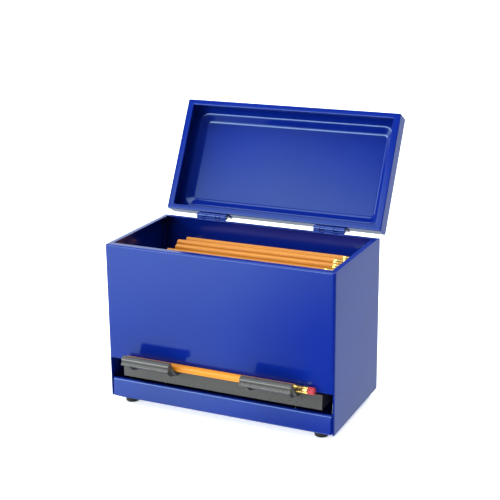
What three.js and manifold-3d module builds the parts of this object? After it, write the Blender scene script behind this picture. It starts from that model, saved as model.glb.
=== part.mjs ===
// Table-top pencil dispenser: a sheet-steel hopper with a hinged lid and a press-down rocker.
// Millimetres, +Z up, +X to the right of a person facing the front, +Y towards the back.
// Parts are laid out in a box frame (x on the centre line, y = 0 on the front face, z = 0 under the
// base pan). One outer group then stands the feet on z = 0 and centres the depth on y = 0.

import * as THREE from 'three';
import { mergeVertices } from 'three/addons/utils/BufferGeometryUtils.js';
import Module from 'manifold-3d';

const wasm = await Module();
wasm.setup();

// ---------------------------------------------------------------- driving dimensions

const GAP = 0.3;                 // clearance kept between touching pieces
const SHEET = 1.0;               // steel sheet thickness
const BEND = 2.5;                // outside radius of the upright corner bends

const BODY_W = 228.6;
const BODY_D = 118;
const BODY_H = 152.2;
const RIM_FRONT = 7;             // width of the in-turned rim at the front
const RIM_SIDE = 5.5;
const RIM_BACK = 5;
const LIP_H = 19;                // top of the lip below the slot
const SLOT_TOP = 40.1;           // lower edge of the front panel
const PAN_FLANGE = 12;           // upturned edges of the base pan
const BACK_TAB = 10;             // forward tabs at the sides of the back panel

const FOOT_H = 7;
const FOOT_R = 7;
const FOOT_X = 98;
const FOOT_INSET = 13;           // from the front and back faces
const FOOT_RECESS_R = 3.8;
const FOOT_RECESS = 3.2;

const HINGE_X = 62.6;
const HINGE_W = 32;
const HINGE_Y = 121;             // hinge axis
const HINGE_Z = 154.4;
const KNUCKLE_R = 2.5;
const HINGE_PIN_R = 1;
const RIVET_SPREAD = 10;         // rivets each side of a leaf's middle

const LID_HALF = 113.8;          // the lid is a shade smaller than the box
const LID_FRONT = 2;             // front wall of the closed lid
const LID_BEND = 1.2;            // outside radius of its upright corners
const LID_Z = 152.65;            // free edge of the closed lid
const LID_H = 17.5;
const LID_RIM_SIDE = 6.8;
const LID_RIM_FRONT = 5.5;
const LID_RIM_BACK = 5;
const EMBOSS_MARGIN = 9.5;       // lid edge to the start of the raised panel's slope
const EMBOSS_SLOPE = 6.5;
const EMBOSS_RISE = 5;
const EMBOSS_CORNER = 10;
const LID_OPEN = THREE.MathUtils.degToRad(117.66);

const PIVOT_Y = 34;              // rocker axle
const PIVOT_Z = 28;
const AXLE_R = 3;
const ROCKER_HALF = 101.5;
const SKIN = 2;                  // moulded wall thickness
const FINGERS = [[-88, -39], [32.6, 82]];   // (start, end) of each along x
const BRACKET_X = 104;

const RAMP_FRONT = 33;           // leading edge of the ramp
const RAMP_FRONT_Z = 41.2;
const RAMP_SLOPE = Math.tan(THREE.MathUtils.degToRad(28.9));
const RAMP_HALF = 112.4;

const PENCIL_FLATS = 7;
const PENCIL_Y = -4.3;           // presented pencil's centre line
const PENCIL_Z = 42.4;
const PENCIL_START = -92.4;      // blunt end
const FERRULE_START = 79.5;
const FERRULE_END = 92.5;
const ERASER_END = 98.3;

const ROW_COUNT = 10;
const ROW_PITCH = 7.7;
const ROW_BOTTOM = 42.4;         // centre height of the lowest row's first pencil
const ROW_TILT = THREE.MathUtils.degToRad(12);
const PILE_PITCH = 7.9;
const PILE_FRONT = 6.6;          // centre of the first pencil in a row
const PILE_BACK = 103;           // furthest back a pencil's centre may lie
const PILE_LEFT = -89;
const PILE_RIGHT = 104;

// ---------------------------------------------------------------- materials

const material = (color, roughness, metalness) =>
  new THREE.MeshStandardMaterial({ color, roughness, metalness });

const BLUE = material(0x0c2f9c, 0.35, 0.1);
const GREY = material(0x77797c, 0.5, 0);
const STEEL = material(0xb9bcc0, 0.35, 1);
const RUBBER = material(0x17181a, 0.85, 0);
const LACQUER = material(0xe9901c, 0.35, 0);
const BRASS = material(0xc9a24a, 0.3, 1);
const ERASER = material(0xc8444c, 0.8, 0);
const GRAPHITE = material(0x2b2c30, 0.5, 0.2);

// ---------------------------------------------------------------- solids

function solidOf(geometry) {
  geometry.deleteAttribute('normal');
  geometry.deleteAttribute('uv');
  const merged = mergeVertices(geometry, 1e-4);
  const mesh = new wasm.Mesh({
    numProp: 3,
    vertProperties: new Float32Array(merged.attributes.position.array),
    triVerts: new Uint32Array(merged.index.array),
  });
  return new wasm.Manifold(mesh);
}

function geometryOf(solid) {
  const mesh = solid.getMesh();
  const geometry = new THREE.BufferGeometry();
  geometry.setAttribute('position', new THREE.BufferAttribute(mesh.vertProperties, 3));
  geometry.setIndex(new THREE.BufferAttribute(mesh.triVerts, 1));
  geometry.computeVertexNormals();
  return geometry;
}

const join = (solids) => solids.reduce((sum, solid) => sum.add(solid));
const cut = (solid, tools) => tools.reduce((rest, tool) => rest.subtract(tool), solid);

function block([x0, x1], [y0, y1], [z0, z1]) {
  const box = new THREE.BoxGeometry(x1 - x0, y1 - y0, z1 - z0);
  box.translate((x0 + x1) / 2, (y0 + y1) / 2, (z0 + z1) / 2);
  return solidOf(box);
}

// An outline given in (y, z), extruded from x0 to x1.
const ACROSS = new THREE.Matrix4().makeBasis(
  new THREE.Vector3(0, 1, 0),
  new THREE.Vector3(0, 0, 1),
  new THREE.Vector3(1, 0, 0),
);

function outline(points) {
  return new THREE.Shape(points.map(([u, v]) => new THREE.Vector2(u, v)));
}

function across(shape, x0, x1) {
  const geometry = new THREE.ExtrudeGeometry(shape, { depth: x1 - x0, bevelEnabled: false });
  geometry.translate(0, 0, x0);
  geometry.applyMatrix4(ACROSS);
  return solidOf(geometry);
}

function upright(shape, z0, z1) {
  const geometry = new THREE.ExtrudeGeometry(shape, { depth: z1 - z0, bevelEnabled: false, curveSegments: 5 });
  geometry.translate(0, 0, z0);
  return solidOf(geometry);
}

function rodAcross(y, z, radius, x0, x1, segments = 16) {
  const geometry = new THREE.CylinderGeometry(radius, radius, x1 - x0, segments);
  geometry.rotateZ(Math.PI / 2);
  geometry.translate((x0 + x1) / 2, y, z);
  return solidOf(geometry);
}

// A turned piece about a vertical line, its profile in (radius, height).
function turned(profile, segments) {
  return new THREE.LatheGeometry(profile.map(([r, h]) => new THREE.Vector2(r, h)), segments);
}

function roundedRectangle(x0, x1, y0, y1, radius) {
  const shape = new THREE.Shape();
  shape.moveTo(x0 + radius, y0);
  shape.lineTo(x1 - radius, y0);
  shape.absarc(x1 - radius, y0 + radius, radius, -Math.PI / 2, 0);
  shape.lineTo(x1, y1 - radius);
  shape.absarc(x1 - radius, y1 - radius, radius, 0, Math.PI / 2);
  shape.lineTo(x0 + radius, y1);
  shape.absarc(x0 + radius, y1 - radius, radius, Math.PI / 2, Math.PI);
  shape.lineTo(x0, y0 + radius);
  shape.absarc(x0 + radius, y0 + radius, radius, Math.PI, Math.PI * 1.5);
  return shape;
}

// ---------------------------------------------------------------- scene graph

const dispenser = new THREE.Group();
const lidGroup = new THREE.Group();
lidGroup.position.set(0, HINGE_Y, HINGE_Z);
lidGroup.rotation.x = -LID_OPEN;
dispenser.add(lidGroup);

function place(name, shape, finish, group = dispenser) {
  const geometry = shape.isBufferGeometry ? shape : geometryOf(shape);
  const mesh = new THREE.Mesh(geometry, finish);
  mesh.name = name;
  if (group === lidGroup) mesh.position.set(0, -HINGE_Y, -HINGE_Z);
  group.add(mesh);
}

const SIDES = [['left', -1], ['right', 1]];
const mirrored = (side, x0, x1) => (side < 0 ? [-x1, -x0] : [x0, x1]);

// Rivets hold both leaves: one name, height and group for each leaf.
const LEAF_ROWS = { body: 127.5, lid: 163.5 };
const LEAF_ENDS = { body: 122.5, lid: 168.6 };
const LEAF_HOLE_R = 1.6;
const LEAF_Y = BODY_D + GAP;
const rivetXs = (side) => [-RIVET_SPREAD, RIVET_SPREAD].map((dx) => side * HINGE_X + dx);

function rivetHoles(row) {
  const holes = SIDES.flatMap(([, side]) => rivetXs(side));
  return holes.map((x) => {
    const geometry = new THREE.CylinderGeometry(LEAF_HOLE_R, LEAF_HOLE_R, 8, 10);
    geometry.translate(x, BODY_D, LEAF_ROWS[row]);
    return solidOf(geometry);
  });
}

// ---------------------------------------------------------------- sheet-metal body

const HALF = BODY_W / 2;
const INNER = HALF - SHEET;

// Front panel and both sides in one wrap, with an in-turned rim and the full-width slot.
function bodyShell() {
  const outer = upright(roundedRectangle(-HALF, HALF, 0, BODY_D + 20, BEND), 0, BODY_H);
  const inner = upright(roundedRectangle(-INNER, INNER, SHEET, BODY_D + 19, BEND - SHEET), -1, BODY_H - SHEET);
  const mouth = block([-HALF + RIM_SIDE, HALF - RIM_SIDE], [RIM_FRONT, BODY_D + 30], [BODY_H - 5, BODY_H + 1]);
  const open = block([-HALF - 1, HALF + 1], [BODY_D, BODY_D + 30], [-1, BODY_H + 1]);
  const slot = block([-INNER, INNER], [-1, SHEET + BEND], [-1, SLOT_TOP]);
  const backRim = block([-INNER, INNER], [BODY_D - RIM_BACK - GAP, BODY_D + 1], [BODY_H - 5, BODY_H + 1]);
  return cut(outer, [inner, mouth, open, slot, backRim]);
}

function backPanel() {
  const half = INNER - GAP;
  const plate = block([-half, half], [BODY_D - SHEET, BODY_D], [GAP, BODY_H]);
  const rim = block([-half, half], [BODY_D - RIM_BACK, BODY_D - SHEET / 2], [BODY_H - SHEET, BODY_H]);
  const tabs = SIDES.map(([, side]) => block(
    mirrored(side, half - SHEET, half),
    [BODY_D - BACK_TAB, BODY_D - SHEET / 2],
    [PAN_FLANGE + 2, BODY_H - SHEET - 2],
  ));
  return cut(join([plate, rim, ...tabs]), rivetHoles('body'));
}

function basePan() {
  const half = INNER - GAP;
  const back = BODY_D - SHEET - GAP;
  const floor = block([-half, half], [0, back], [0, SHEET]);
  const lip = block([-half, half], [0, SHEET], [0, LIP_H]);
  const hem = block([-half, half], [0, SHEET * 2.2], [LIP_H - SHEET, LIP_H]);
  const rear = block([-half, half], [back - SHEET, back], [0, PAN_FLANGE]);
  const flanges = SIDES.map(([, side]) => block(mirrored(side, half - SHEET, half), [0, back], [0, PAN_FLANGE]));
  const holes = footPlaces().map(({ x, y }) => {
    const geometry = new THREE.CylinderGeometry(SCREW_R + GAP, SCREW_R + GAP, 6, 10);
    geometry.rotateX(Math.PI / 2);
    geometry.translate(x, y, 0);
    return solidOf(geometry);
  });
  return cut(join([floor, lip, hem, rear, ...flanges]), holes);
}

const rampTop = (y) => RAMP_FRONT_Z + (y - RAMP_FRONT) * RAMP_SLOPE;

// Sloping floor of the hopper, with an upturned back edge and downturned side skirts.
function hopperRamp() {
  const back = BODY_D - SHEET - GAP;
  const turnUp = 12;
  const skirt = 8;
  const thick = SHEET * Math.hypot(1, RAMP_SLOPE);
  const sheet = outline([
    [RAMP_FRONT, rampTop(RAMP_FRONT)],
    [RAMP_FRONT, rampTop(RAMP_FRONT) - thick],
    [back, rampTop(back) - thick],
    [back, rampTop(back) + turnUp],
    [back - SHEET, rampTop(back) + turnUp],
    [back - SHEET, rampTop(back - SHEET)],
  ]);
  const side = outline([
    [RAMP_FRONT + 3, rampTop(RAMP_FRONT + 3) - thick / 2],
    [RAMP_FRONT + 3, rampTop(RAMP_FRONT + 3) - skirt],
    [BODY_D - BACK_TAB - 2, rampTop(BODY_D - BACK_TAB - 2) - skirt],
    [BODY_D - BACK_TAB - 2, rampTop(BODY_D - BACK_TAB - 2) - thick / 2],
  ]);
  const half = RAMP_HALF - SHEET;
  const skirts = SIDES.map(([, sign]) => across(side, ...mirrored(sign, half - SHEET, half)));
  return join([across(sheet, -half, half), ...skirts]);
}

// ---------------------------------------------------------------- feet

const SCREW_R = 1.5;
const SCREW_HEAD_R = 3.2;

function footPlaces() {
  const rows = [['front', FOOT_INSET], ['back', BODY_D - FOOT_INSET]];
  return rows.flatMap(([row, y]) => SIDES.map(([name, side]) => ({ name: `${row}_${name}`, x: side * FOOT_X, y })));
}

function addFeet() {
  const foot = [
    [FOOT_RECESS_R, -FOOT_H],
    [FOOT_R - 0.8, -FOOT_H],
    [FOOT_R, -FOOT_H + 1],
    [FOOT_R, -GAP],
    [SCREW_R + GAP, -GAP],
    [SCREW_R + GAP, -FOOT_H + FOOT_RECESS],
    [FOOT_RECESS_R, -FOOT_H + FOOT_RECESS],
    [FOOT_RECESS_R, -FOOT_H],
  ];
  const headTop = -FOOT_H + FOOT_RECESS - GAP;
  const screw = [
    [0, headTop - 1.8],
    [1.8, headTop - 1.6],
    [SCREW_HEAD_R, headTop - 0.5],
    [SCREW_HEAD_R, headTop],
    [SCREW_R, headTop],
    [SCREW_R, 5],
    [0, 5],
  ];
  for (const { name, x, y } of footPlaces()) {
    place(`foot_${name}`, turnedUp(foot, 20).translate(x, y, 0), RUBBER);
    place(`foot_screw_${name}`, turnedUp(screw, 12).translate(x, y, 0), STEEL);
  }
}

// A turned piece with its axis along +Z.
function turnedUp(profile, segments) {
  return turned(profile, segments).rotateX(Math.PI / 2);
}

// ---------------------------------------------------------------- lid

// A raised panel: a rounded slab whose far face is drawn in by the slope on every side.
function raisedPanel(offset) {
  const margin = EMBOSS_MARGIN + offset;
  const x1 = LID_HALF - margin;
  const y0 = LID_FRONT + margin;
  const y1 = BODY_D - margin;
  const low = LID_Z + LID_H - SHEET - (offset > 0 ? 1 : 0);
  const high = LID_Z + LID_H + EMBOSS_RISE - offset;
  const shape = roundedRectangle(-x1, x1, y0, y1, EMBOSS_CORNER - offset);
  const geometry = new THREE.ExtrudeGeometry(shape, { depth: 1, bevelEnabled: false, curveSegments: 5 });
  const middle = (y0 + y1) / 2;
  const points = geometry.attributes.position;
  for (let i = 0; i < points.count; i += 1) {
    const far = points.getZ(i) > 0.5;
    const drawIn = far ? EMBOSS_SLOPE : 0;
    points.setX(i, points.getX(i) * (1 - drawIn / x1));
    points.setY(i, middle + (points.getY(i) - middle) * (1 - drawIn / (middle - y0)));
    points.setZ(i, far ? high : low);
  }
  return solidOf(geometry);
}

function lidPan() {
  const top = LID_Z + LID_H;
  const outer = upright(roundedRectangle(-LID_HALF, LID_HALF, LID_FRONT, BODY_D, LID_BEND), LID_Z, top);
  const inner = LID_HALF - SHEET;
  const hollow = upright(
    roundedRectangle(-inner, inner, LID_FRONT + SHEET, BODY_D - SHEET, LID_BEND - SHEET),
    LID_Z + SHEET,
    top - SHEET,
  );
  const mouth = block(
    [-LID_HALF + LID_RIM_SIDE, LID_HALF - LID_RIM_SIDE],
    [LID_FRONT + LID_RIM_FRONT, BODY_D - LID_RIM_BACK],
    [LID_Z - 1, LID_Z + SHEET + 1],
  );
  const pressed = outer.add(raisedPanel(0));
  return cut(pressed, [hollow, mouth, raisedPanel(SHEET), ...rivetHoles('lid')]);
}

// ---------------------------------------------------------------- hinges

const KNUCKLE_GAP = 0.3;
const KNUCKLE_CLEAR = 3.2;       // from the hinge axis to the plain edge of a leaf
const LEAF_T = 1;
const RIVET_R = 1.3;
const RIVET_HEAD_R = 2.4;
const RIVET_TAIL_R = 2.3;

// Five knuckles, the outer ones and the middle one on the body leaf.
function knuckleSpans() {
  const end = 6.5;
  const middle = 10;
  const between = (HINGE_W - 2 * end - middle) / 2;
  const widths = [end, between, middle, between, end];
  let x = -HINGE_W / 2;
  return widths.map((width, i) => {
    const span = [x + (i ? KNUCKLE_GAP / 2 : 0), x + width - (i < 4 ? KNUCKLE_GAP / 2 : 0)];
    x += width;
    return { span, onBody: i % 2 === 0 };
  });
}

function hingeLeaf(centre, onBody) {
  const near = HINGE_Z + (onBody ? -KNUCKLE_CLEAR : KNUCKLE_CLEAR);
  const far = LEAF_ENDS[onBody ? 'body' : 'lid'];
  const x0 = centre - HINGE_W / 2;
  const plate = block([x0, x0 + HINGE_W], [LEAF_Y, LEAF_Y + LEAF_T], [Math.min(near, far), Math.max(near, far)]);
  const knuckles = knuckleSpans().filter((k) => k.onBody === onBody).map(({ span }) => {
    const [a, b] = [centre + span[0], centre + span[1]];
    const arm = block([a, b], [LEAF_Y, LEAF_Y + LEAF_T], [Math.min(near, HINGE_Z), Math.max(near, HINGE_Z)]);
    return arm.add(rodAcross(HINGE_Y, HINGE_Z, KNUCKLE_R, a, b));
  });
  const bore = rodAcross(HINGE_Y, HINGE_Z, HINGE_PIN_R + GAP, x0 - 1, x0 + HINGE_W + 1, 10);
  return cut(join([plate, ...knuckles]), [bore, ...rivetHoles(onBody ? 'body' : 'lid')]);
}

function rivet() {
  const inside = BODY_D - SHEET - GAP;
  const outside = LEAF_Y + LEAF_T + GAP;
  return turned([
    [0, inside - 0.9],
    [RIVET_TAIL_R, inside - 0.9],
    [RIVET_TAIL_R, inside],
    [RIVET_R, inside],
    [RIVET_R, outside],
    [RIVET_HEAD_R, outside],
    [RIVET_HEAD_R - 0.5, outside + 0.8],
    [0, outside + 1.1],
  ], 10);
}

function addHinges() {
  for (const [name, side] of SIDES) {
    const centre = side * HINGE_X;
    const half = HINGE_W / 2;
    place(`hinge_body_leaf_${name}`, hingeLeaf(centre, true), BLUE);
    place(`hinge_lid_leaf_${name}`, hingeLeaf(centre, false), BLUE, lidGroup);
    const pin = rodAcross(HINGE_Y, HINGE_Z, HINGE_PIN_R, centre - half - 0.4, centre + half + 0.4, 10);
    place(`hinge_pin_${name}`, pin, STEEL);
    for (const [row, group] of [['body', dispenser], ['lid', lidGroup]]) {
      rivetXs(side).forEach((x, i) => {
        place(`rivet_${row}_${name}_${i + 1}`, rivet().translate(x, 0, LEAF_ROWS[row]), STEEL, group);
      });
    }
  }
}

// ---------------------------------------------------------------- rocker

// Floor and front face of the rocker in (y, z).
const ROCKER_BACK = 36;
const ROCKER_FACE = 4.5;
const ROCKER_FOOT = 21.4;
const ROCKER_SECTION = outline([
  [ROCKER_BACK, 38.2],
  [5, 35.9],
  [ROCKER_FACE, 35.2],
  [ROCKER_FACE, ROCKER_FOOT],
  [ROCKER_FACE + SKIN, ROCKER_FOOT],
  [ROCKER_FACE + SKIN, 33.9],
  [ROCKER_BACK, 38.2 - SKIN],
]);

// A finger's skin: under the panel, up the slope and over the rounded front.
const FINGER_SECTION = outline([
  [6, 36],
  [-5, 37.3],
  [-11.3, 43.5],
  [-16.2, 51.2],
  [-18, 51.8],
  [-20.6, 51.2],
  [-22, 49.6],
  [-21.6, 44],
  [-19.8, 44.3],
  [-20, 49],
  [-18.2, 49.7],
  [-12.9, 42.1],
  [-5.8, 35.2],
  [6, 34],
]);

const FINGER_RIB = outline([
  [6, 35.5],
  [-5, 36.6],
  [-11.3, 43],
  [-16.2, 50.6],
  [-18, 51.2],
  [-21, 49.6],
  [-21, 44.2],
  [-11, 35.5],
  [5.7, 30.5],
]);

function rockerCheek() {
  const boss = 6;
  return outline([
    [5, 35],
    [5, ROCKER_FOOT],
    [PIVOT_Y - boss, PIVOT_Z - boss],
    [PIVOT_Y + 2, PIVOT_Z - boss],
    [PIVOT_Y + boss, PIVOT_Z - 2],
    [PIVOT_Y + boss, PIVOT_Z + 3],
    [ROCKER_BACK, 37.2],
  ]);
}

function rocker() {
  const parts = [across(ROCKER_SECTION, -ROCKER_HALF, ROCKER_HALF)];
  for (const [x0, x1] of FINGERS) {
    parts.push(across(FINGER_SECTION, x0, x1));
    parts.push(across(FINGER_RIB, x0, x0 + SKIN));
    parts.push(across(FINGER_RIB, x1 - SKIN, x1));
  }
  for (const [, side] of SIDES) {
    parts.push(across(rockerCheek(), ...mirrored(side, ROCKER_HALF - SKIN, ROCKER_HALF)));
  }
  const bore = rodAcross(PIVOT_Y, PIVOT_Z, AXLE_R + GAP, -BODY_W, BODY_W, 16);
  return cut(join(parts), [bore]);
}

const BRACKET_T = 1.5;
const BRACKET_FOOT = 7;          // width of the flange that stands on the base pan
const BRACKET_REACH = 14;        // half its length along y

function pivotBracket(side) {
  const plateX = mirrored(side, BRACKET_X, BRACKET_X + BRACKET_T);
  const flangeX = mirrored(side, BRACKET_X, BRACKET_X + BRACKET_FOOT);
  const foot = SHEET + GAP;
  const plate = across(outline([
    [PIVOT_Y - BRACKET_REACH, foot],
    [PIVOT_Y + BRACKET_REACH, foot],
    [PIVOT_Y + 7, PIVOT_Z + 3],
    [PIVOT_Y + 3, PIVOT_Z + 7],
    [PIVOT_Y - 3, PIVOT_Z + 7],
    [PIVOT_Y - 7, PIVOT_Z + 3],
  ]), ...plateX);
  const flange = block(flangeX, [PIVOT_Y - BRACKET_REACH, PIVOT_Y + BRACKET_REACH], [foot, foot + BRACKET_T]);
  const bore = rodAcross(PIVOT_Y, PIVOT_Z, AXLE_R + GAP, -BODY_W, BODY_W, 16);
  return cut(plate.add(flange), [bore]);
}

const CLIP_T = 1;
const CLIP_R = 5.6;

// An open retaining clip round the axle, outside the bracket.
function axleClip(side) {
  const start = BRACKET_X + BRACKET_T + GAP;
  const [x0, x1] = mirrored(side, start, start + CLIP_T);
  const ring = rodAcross(PIVOT_Y, PIVOT_Z, CLIP_R, x0, x1, 16);
  const hole = rodAcross(PIVOT_Y, PIVOT_Z, AXLE_R + GAP, x0 - 1, x1 + 1, 16);
  const mouth = block([x0 - 1, x1 + 1], [PIVOT_Y - 1.6, PIVOT_Y + 1.6], [PIVOT_Z - 8, PIVOT_Z]);
  return cut(ring, [hole, mouth]);
}

// A torsion spring: one leg reaches under the rocker floor, the other down to the base pan.
const SPRING_X = 60;
const SPRING_R = 4.6;
const SPRING_WIRE = 0.6;
const SPRING_TURNS = 4;
const SPRING_PITCH = 1.7;
const SPRING_ARM = [[0, 14, 27.2], [0, 22, 30], [0, 29, 32.2]];
const SPRING_LEG = [[28, 22], [25, 12], [23, 2.6]];

function returnSpring(side) {
  const points = [...SPRING_ARM];
  const steps = SPRING_TURNS * 10 + 5;
  for (let i = 0; i <= steps; i += 1) {
    const angle = Math.PI / 2 - (i / 10) * 2 * Math.PI;
    const along = (i / 10) * SPRING_PITCH;
    points.push([along, PIVOT_Y + SPRING_R * Math.cos(angle), PIVOT_Z + SPRING_R * Math.sin(angle)]);
  }
  const [last] = points[points.length - 1];
  points.push(...SPRING_LEG.map(([y, z]) => [last, y, z]));
  const path = new THREE.CatmullRomCurve3(
    points.map(([x, y, z]) => new THREE.Vector3(side * (SPRING_X + x), y, z)),
    false,
    'centripetal',
  );
  const wire = new THREE.Shape();
  wire.absarc(0, 0, SPRING_WIRE, 0, Math.PI * 2);
  return solidOf(new THREE.ExtrudeGeometry(wire, { steps: 66, curveSegments: 3, extrudePath: path }));
}

function addMechanism() {
  place('rocker', rocker(), GREY);
  place('rocker_axle', rodAcross(PIVOT_Y, PIVOT_Z, AXLE_R, -BRACKET_X - 5, BRACKET_X + 5), STEEL);
  for (const [name, side] of SIDES) {
    place(`pivot_bracket_${name}`, pivotBracket(side), STEEL);
    place(`axle_clip_${name}`, axleClip(side), STEEL);
    place(`return_spring_${name}`, returnSpring(side), STEEL);
  }
}

// ---------------------------------------------------------------- pencils

const FERRULE_R = 3.75;
const PLUG_R = 3.1;

function hexagon(y, z, flats, turn) {
  const radius = flats / Math.sqrt(3);
  const corner = (i) => turn + (i * Math.PI) / 3;
  return outline([0, 1, 2, 3, 4, 5].map((i) => [y + radius * Math.cos(corner(i)), z + radius * Math.sin(corner(i))]));
}

function addPresentedPencil() {
  const lead = 1;
  const tenonEnd = FERRULE_START + 7;
  const hex = across(hexagon(PENCIL_Y, PENCIL_Z, PENCIL_FLATS, Math.PI / 2), PENCIL_START, FERRULE_START - GAP);
  const tenon = rodAcross(PENCIL_Y, PENCIL_Z, PLUG_R, FERRULE_START - 2, tenonEnd, 12);
  const bore = rodAcross(PENCIL_Y, PENCIL_Z, lead + GAP, PENCIL_START - 1, tenonEnd + 1, 10);
  place('pencil_barrel', cut(hex.add(tenon), [bore]), LACQUER);
  place('pencil_lead', rodAcross(PENCIL_Y, PENCIL_Z, lead, PENCIL_START, tenonEnd, 10), GRAPHITE);
  const tube = cut(
    rodAcross(PENCIL_Y, PENCIL_Z, FERRULE_R, FERRULE_START, FERRULE_END, 16),
    [rodAcross(PENCIL_Y, PENCIL_Z, PLUG_R + GAP, FERRULE_START - 1, FERRULE_END + 1, 16)],
  );
  place('pencil_ferrule', tube, BRASS);
  place('pencil_eraser', rodAcross(PENCIL_Y, PENCIL_Z, PLUG_R, tenonEnd + GAP, ERASER_END, 12), ERASER);
}

// One fused row of hexagonal pencils lying side by side in (y, z), rising towards the back.
function pencilRow(height) {
  const flat = PENCIL_FLATS / 2;
  const corner = flat / Math.sqrt(3);
  const valley = (2 * corner - PILE_PITCH / 2) * Math.sqrt(3);
  const clearance = flat + 1.3;
  const rise = Math.tan(ROW_TILT);
  const overRamp = height - clearance - RAMP_FRONT_Z + RAMP_FRONT * RAMP_SLOPE - PILE_FRONT * rise;
  const last = Math.min(PILE_BACK, overRamp / (RAMP_SLOPE - rise));
  const count = Math.floor((last - PILE_FRONT) / (PILE_PITCH * Math.cos(ROW_TILT))) + 1;
  const top = [];
  const bottom = [];
  for (let i = 0; i < count; i += 1) {
    const along = i * PILE_PITCH;
    top.push([along - corner, flat], [along + corner, flat]);
    bottom.push([along - corner, -flat], [along + corner, -flat]);
    if (i < count - 1) {
      top.push([along + PILE_PITCH / 2, valley]);
      bottom.push([along + PILE_PITCH / 2, -valley]);
    }
  }
  const backEnd = [(count - 1) * PILE_PITCH + 2 * corner, 0];
  const frontEnd = [-2 * corner, 0];
  const level = [frontEnd, ...bottom, backEnd, ...top.reverse()];
  const tilted = level.map(([along, up]) => [
    PILE_FRONT + along * Math.cos(ROW_TILT) - up * Math.sin(ROW_TILT),
    height + along * Math.sin(ROW_TILT) + up * Math.cos(ROW_TILT),
  ]);
  return across(outline(tilted), PILE_LEFT, PILE_RIGHT);
}

function addPile() {
  for (let row = 0; row < ROW_COUNT; row += 1) {
    const name = `pencil_row_${String(row + 1).padStart(2, '0')}`;
    place(name, pencilRow(ROW_BOTTOM + row * ROW_PITCH), LACQUER);
  }
}

// ---------------------------------------------------------------- assembly

place('body_shell', bodyShell(), BLUE);
place('back_panel', backPanel(), BLUE);
place('base_pan', basePan(), BLUE);
place('hopper_ramp', hopperRamp(), BLUE);
place('lid_pan', lidPan(), BLUE, lidGroup);
addFeet();
addHinges();
addMechanism();
addPresentedPencil();
addPile();

// Stand the feet on z = 0 and centre the whole depth, open lid included, on y = 0.
const depth = new THREE.Box3().setFromObject(dispenser, true);
dispenser.position.set(0, -(depth.min.y + depth.max.y) / 2, FOOT_H);

const standing = new THREE.Group();
standing.add(dispenser);

export default standing;
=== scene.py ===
"""Looks of the pencil dispenser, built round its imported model.

Shapes are worked out in millimetres in the box frame: x on the centre line, y = 0 on the front
face, z = 0 under the base pan. to_row() then takes them to metres in the row frame.
"""

import math
import random

import bmesh
import bpy
from mathutils import Matrix, Vector


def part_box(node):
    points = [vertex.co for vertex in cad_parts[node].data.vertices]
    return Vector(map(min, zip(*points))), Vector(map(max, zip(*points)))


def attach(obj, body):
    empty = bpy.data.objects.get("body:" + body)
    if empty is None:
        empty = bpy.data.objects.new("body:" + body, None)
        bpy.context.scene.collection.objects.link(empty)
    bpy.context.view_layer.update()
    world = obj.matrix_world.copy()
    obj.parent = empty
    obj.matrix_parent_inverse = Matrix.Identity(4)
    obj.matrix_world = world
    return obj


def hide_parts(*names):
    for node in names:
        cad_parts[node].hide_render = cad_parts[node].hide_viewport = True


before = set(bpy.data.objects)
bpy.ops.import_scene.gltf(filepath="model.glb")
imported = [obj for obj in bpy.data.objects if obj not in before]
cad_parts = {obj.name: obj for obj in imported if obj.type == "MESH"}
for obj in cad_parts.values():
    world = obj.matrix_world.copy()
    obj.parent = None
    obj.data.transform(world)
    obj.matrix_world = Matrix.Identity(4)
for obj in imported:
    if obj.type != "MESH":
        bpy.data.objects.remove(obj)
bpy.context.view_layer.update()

# ---------------------------------------------------------------- driving sizes, millimetres

SHEET, PART_GAP = 1.0, 0.3
BODY_HALF, BODY_D, BODY_H = 114.3, 118.0, 152.2
CORNER_BEND = 2.6
RIM_BEND = 1.5
RIM_FRONT, RIM_SIDE, RIM_BACK = 7.0, 5.5, 5.0
SLOT_TOP, LIP_H, PAN_FLANGE = 40.1, 19.0, 12.0
LIP_BEND, LIP_LEAN = 2.0, 1.2
PAN_HALF, BACK_HALF = 112.4, 112.9
BACK_WRAP, BACK_TOP_NOTCH, BACK_FOOT_NOTCH = 10, 4, 2

FOOT_H, FOOT_R, FOOT_X, FOOT_INSET = 7.0, 7.0, 98.0, 13.0
FOOT_RECESS_R, FOOT_RECESS = 3.8, 3.2

HINGE_X, HINGE_W, HINGE_Y, HINGE_Z = 62.6, 32.0, 121.0, 154.4
LEAF_Y, LEAF_T = 118.3, 0.9
LEAF_ROOT, LEAF_ROLL = 2.2, math.radians(318)
LEAF_TIP = {"body": 122.5, "lid": 168.6}
PIN_R = 1.0
RIVET_SPREAD = 10.0
RIVET_HEAD_R, RIVET_DOME, RIVET_SHANK_R = 2.4, 1.15, 1.25
RIVET_Z = {"body": 127.5, "lid": 163.5}

LID_HALF, LID_FRONT, LID_Z, LID_H = 113.8, 2.0, 152.65, 17.5
LID_RIM = {"side": 6.8, "front": 5.5, "back": 5.0}
LID_HEM, HEM_CORNER, LID_CORNER = 1.6, 0.6, 1.4
HEM_DEPTH = 5.3
HEM_BEND, LID_BEND, STEP_BEND, PANEL_BEND = 0.9, 1.3, 0.8, 1.8
EMBOSS_MARGIN, EMBOSS_SLOPE, EMBOSS_RISE = 9.5, 6.5, 5.0
EMBOSS_CORNER, PANEL_CORNER = 10, 4
LID_OPEN = math.radians(117.66)

PIVOT_Y, PIVOT_Z, BORE_R = 34.0, 28.0, 3.3
ROCKER_HALF, SKIN = 101.5, 2.0
FINGERS = ((-88.0, -39.0), (32.6, 82.0))

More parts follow.
